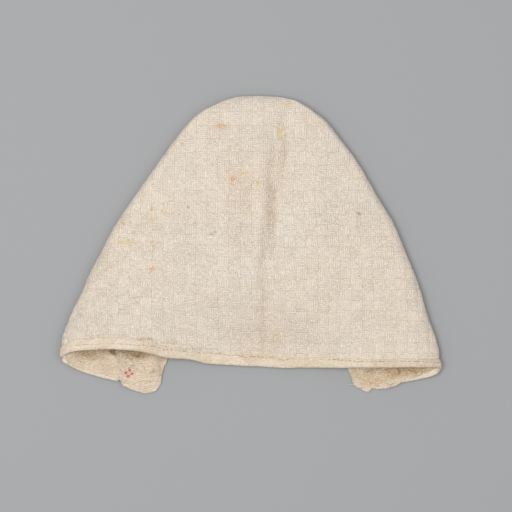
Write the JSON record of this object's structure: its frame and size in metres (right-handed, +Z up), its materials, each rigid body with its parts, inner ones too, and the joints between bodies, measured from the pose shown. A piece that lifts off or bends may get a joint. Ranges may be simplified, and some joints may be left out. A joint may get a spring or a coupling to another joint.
{
  "type": "knitted cotton cap",
  "caption": "Close-fitting knitted cotton cap, laid flat, with a turned hem round the face edge, two ear flaps and an arched nape opening.",
  "frame": {"origin": "on the table, under the middle of the cap's outline as it lies flat", "axes": "+X towards the right side fold as seen from above, +Y from the mouth towards the crown, +Z up from the table"},
  "size_m": [0.2794, 0.217, 0.0219],
  "materials": {
    "knitted_cotton": "matt check-block knit, cream, with small yellow and orange age spots",
    "hem_cotton": "matt plain knit, slightly yellower cream"
  },
  "bodies": {
    "root": {"knitted_body": "knitted_cotton", "turned_hem": "hem_cotton"}
  },
  "joints": []
}
